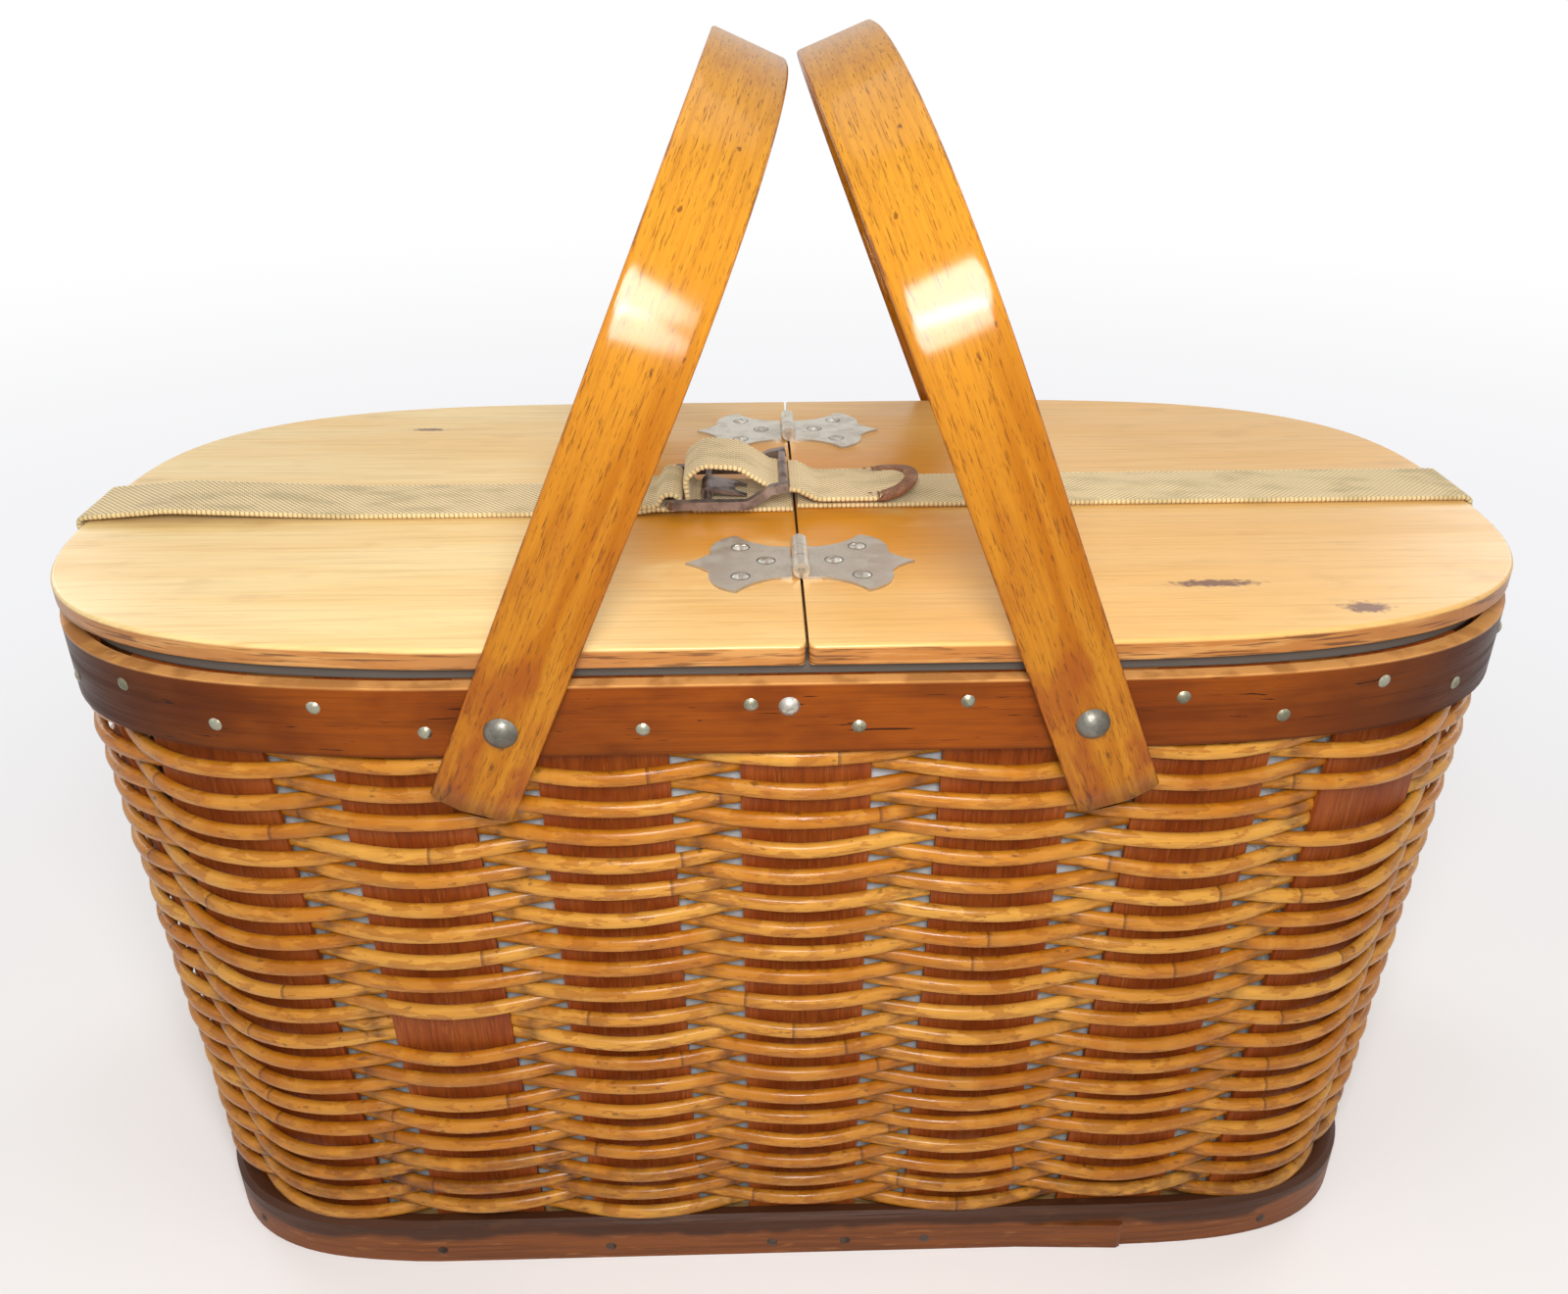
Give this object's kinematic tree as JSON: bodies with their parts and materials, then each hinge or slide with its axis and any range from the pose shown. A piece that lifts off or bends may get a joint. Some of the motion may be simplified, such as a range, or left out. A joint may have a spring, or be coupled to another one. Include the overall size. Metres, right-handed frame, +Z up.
{
  "type": "picnic basket",
  "caption": "Oval woven picnic basket with two hinged wooden half lids, two bentwood bow handles on side rivets, a nailed rim band, a metal liner and a buckled strap.",
  "frame": {"origin": "middle of the basket's footprint, on the floor that its base band stands on", "axes": "+X along the basket's length, towards the right lid; +Y from the front side, which shows the lap of the base band, to the back; +Z up"},
  "size_m": [0.5128, 0.2628, 0.4434],
  "materials": {
    "lid_wood": "worn varnish, amber stains",
    "inner_wood": "plain, dull",
    "rim_wood": "dark varnish, worn edge",
    "base_wood": "dark varnish, grimy",
    "handle_wood": "glossy amber varnish",
    "splint_wood": "stained brown, satin",
    "reed": "golden varnish, satin",
    "liner_metal": "dull light grey sheet",
    "hinge_steel": "tarnished",
    "screw_steel": "tarnished",
    "rivet_steel": "tarnished",
    "tack_steel": "tarnished",
    "nail_iron": "dark, rusted",
    "buckle_steel": "dark bronzed",
    "webbing": "khaki cotton webbing",
    "strap_leather": "worn brown"
  },
  "bodies": {
    "basket": {"base_board": "inner_wood", "base_band": "base_wood", "base_nails": "nail_iron", "stakes": "splint_wood", "outer_weave": "reed", "inner_weave": "reed", "outer_rim_band": "rim_wood", "inner_rim_hoop": "rim_wood", "rim_tacks": "tack_steel", "liner": "liner_metal", "cross_bar": "inner_wood", "cross_bar_screws": "screw_steel", "handle_rivets": "rivet_steel", "rivet_washers": "rivet_steel"},
    "left_handle": {"left_handle": "handle_wood"},
    "right_handle": {"right_handle": "handle_wood"},
    "left_lid": {"left_lid_board": "lid_wood", "left_lid_battens": "inner_wood", "left_batten_screws": "screw_steel", "front_hinge_left_leaf": "hinge_steel", "back_hinge_left_leaf": "hinge_steel", "left_hinge_screws": "screw_steel", "strap_left": "webbing", "strap_loop": "webbing", "buckle_frame": "buckle_steel"},
    "right_lid": {"right_lid_board": "lid_wood", "right_lid_battens": "inner_wood", "right_batten_screws": "screw_steel", "front_hinge_right_leaf": "hinge_steel", "back_hinge_right_leaf": "hinge_steel", "right_hinge_screws": "screw_steel", "hinge_pins": "hinge_steel", "strap_right": "webbing", "strap_tail": "webbing", "strap_tip": "strap_leather", "strap_patch": "strap_leather"},
    "buckle_tongue": {"buckle_tongue": "buckle_steel"}
  },
  "joints": [
    {"name": "left_lid_hinge", "type": "hinge", "parent": "basket", "child": "left_lid", "pos_m": [0.003, -0.0606, 0.28405], "axis": [0, 1, 0], "range_deg": [0, 40]},
    {"name": "right_lid_hinge", "type": "hinge", "parent": "basket", "child": "right_lid", "pos_m": [0.003, -0.0606, 0.28405], "axis": [0, -1, 0], "range_deg": [0, 40]},
    {"name": "left_handle_pivot", "type": "hinge", "parent": "basket", "child": "left_handle", "pos_m": [-0.0885, -0.125, 0.2578], "axis": [0, -1, 0], "range_deg": [0, 140]},
    {"name": "right_handle_pivot", "type": "hinge", "parent": "basket", "child": "right_handle", "pos_m": [0.0885, -0.125, 0.2578], "axis": [0, 1, 0], "range_deg": [0, 138]},
    {"name": "buckle_tongue_pivot", "type": "hinge", "parent": "left_lid", "child": "buckle_tongue", "pos_m": [-0.029, -0.001, 0.2862], "axis": [0, -1, 0], "range_deg": [0, 30]}
  ]
}
